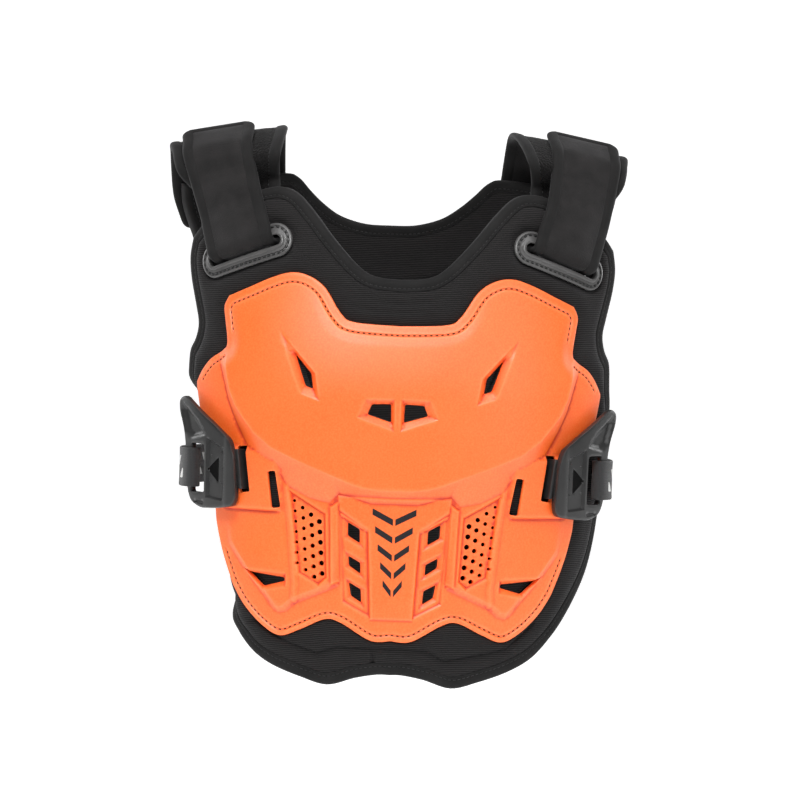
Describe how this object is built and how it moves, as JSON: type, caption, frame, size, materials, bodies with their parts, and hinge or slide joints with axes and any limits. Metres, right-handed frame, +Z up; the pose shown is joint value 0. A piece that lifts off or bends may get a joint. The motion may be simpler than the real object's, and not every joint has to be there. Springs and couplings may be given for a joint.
{
  "type": "roost deflector",
  "caption": "Child's chest and back guard: a moulded orange plate on a padded black vest with shoulder straps, slot frames, hook buckles and elastic side straps.",
  "frame": {"origin": "on the midline at the shoulder tops, at the height of the undersides of the shoulder straps, midway between chest and back", "axes": "+Z up along the wearer's body, -Y out of the chest, +X towards the wearer's left"},
  "size_m": [0.3627, 0.2296, 0.4281],
  "materials": {
    "orange_plastic": "satin with a fine grain",
    "black_knit": "ribbed knit over foam",
    "black_binding": "smooth stretch binding",
    "black_brushed": "brushed loop fabric",
    "black_plastic": "satin",
    "black_elastic": "woven elastic webbing"
  },
  "bodies": {
    "root": {"front_pad": "black_knit", "front_binding": "black_binding", "chest_plate": "orange_plastic", "back_pad": "black_knit", "back_binding": "black_binding", "right_slot_frame": "black_plastic", "right_shoulder_strap": "black_brushed", "right_buckle": "black_plastic", "right_side_strap": "black_elastic", "left_slot_frame": "black_plastic", "left_shoulder_strap": "black_brushed", "left_buckle": "black_plastic", "left_side_strap": "black_elastic"}
  },
  "joints": []
}
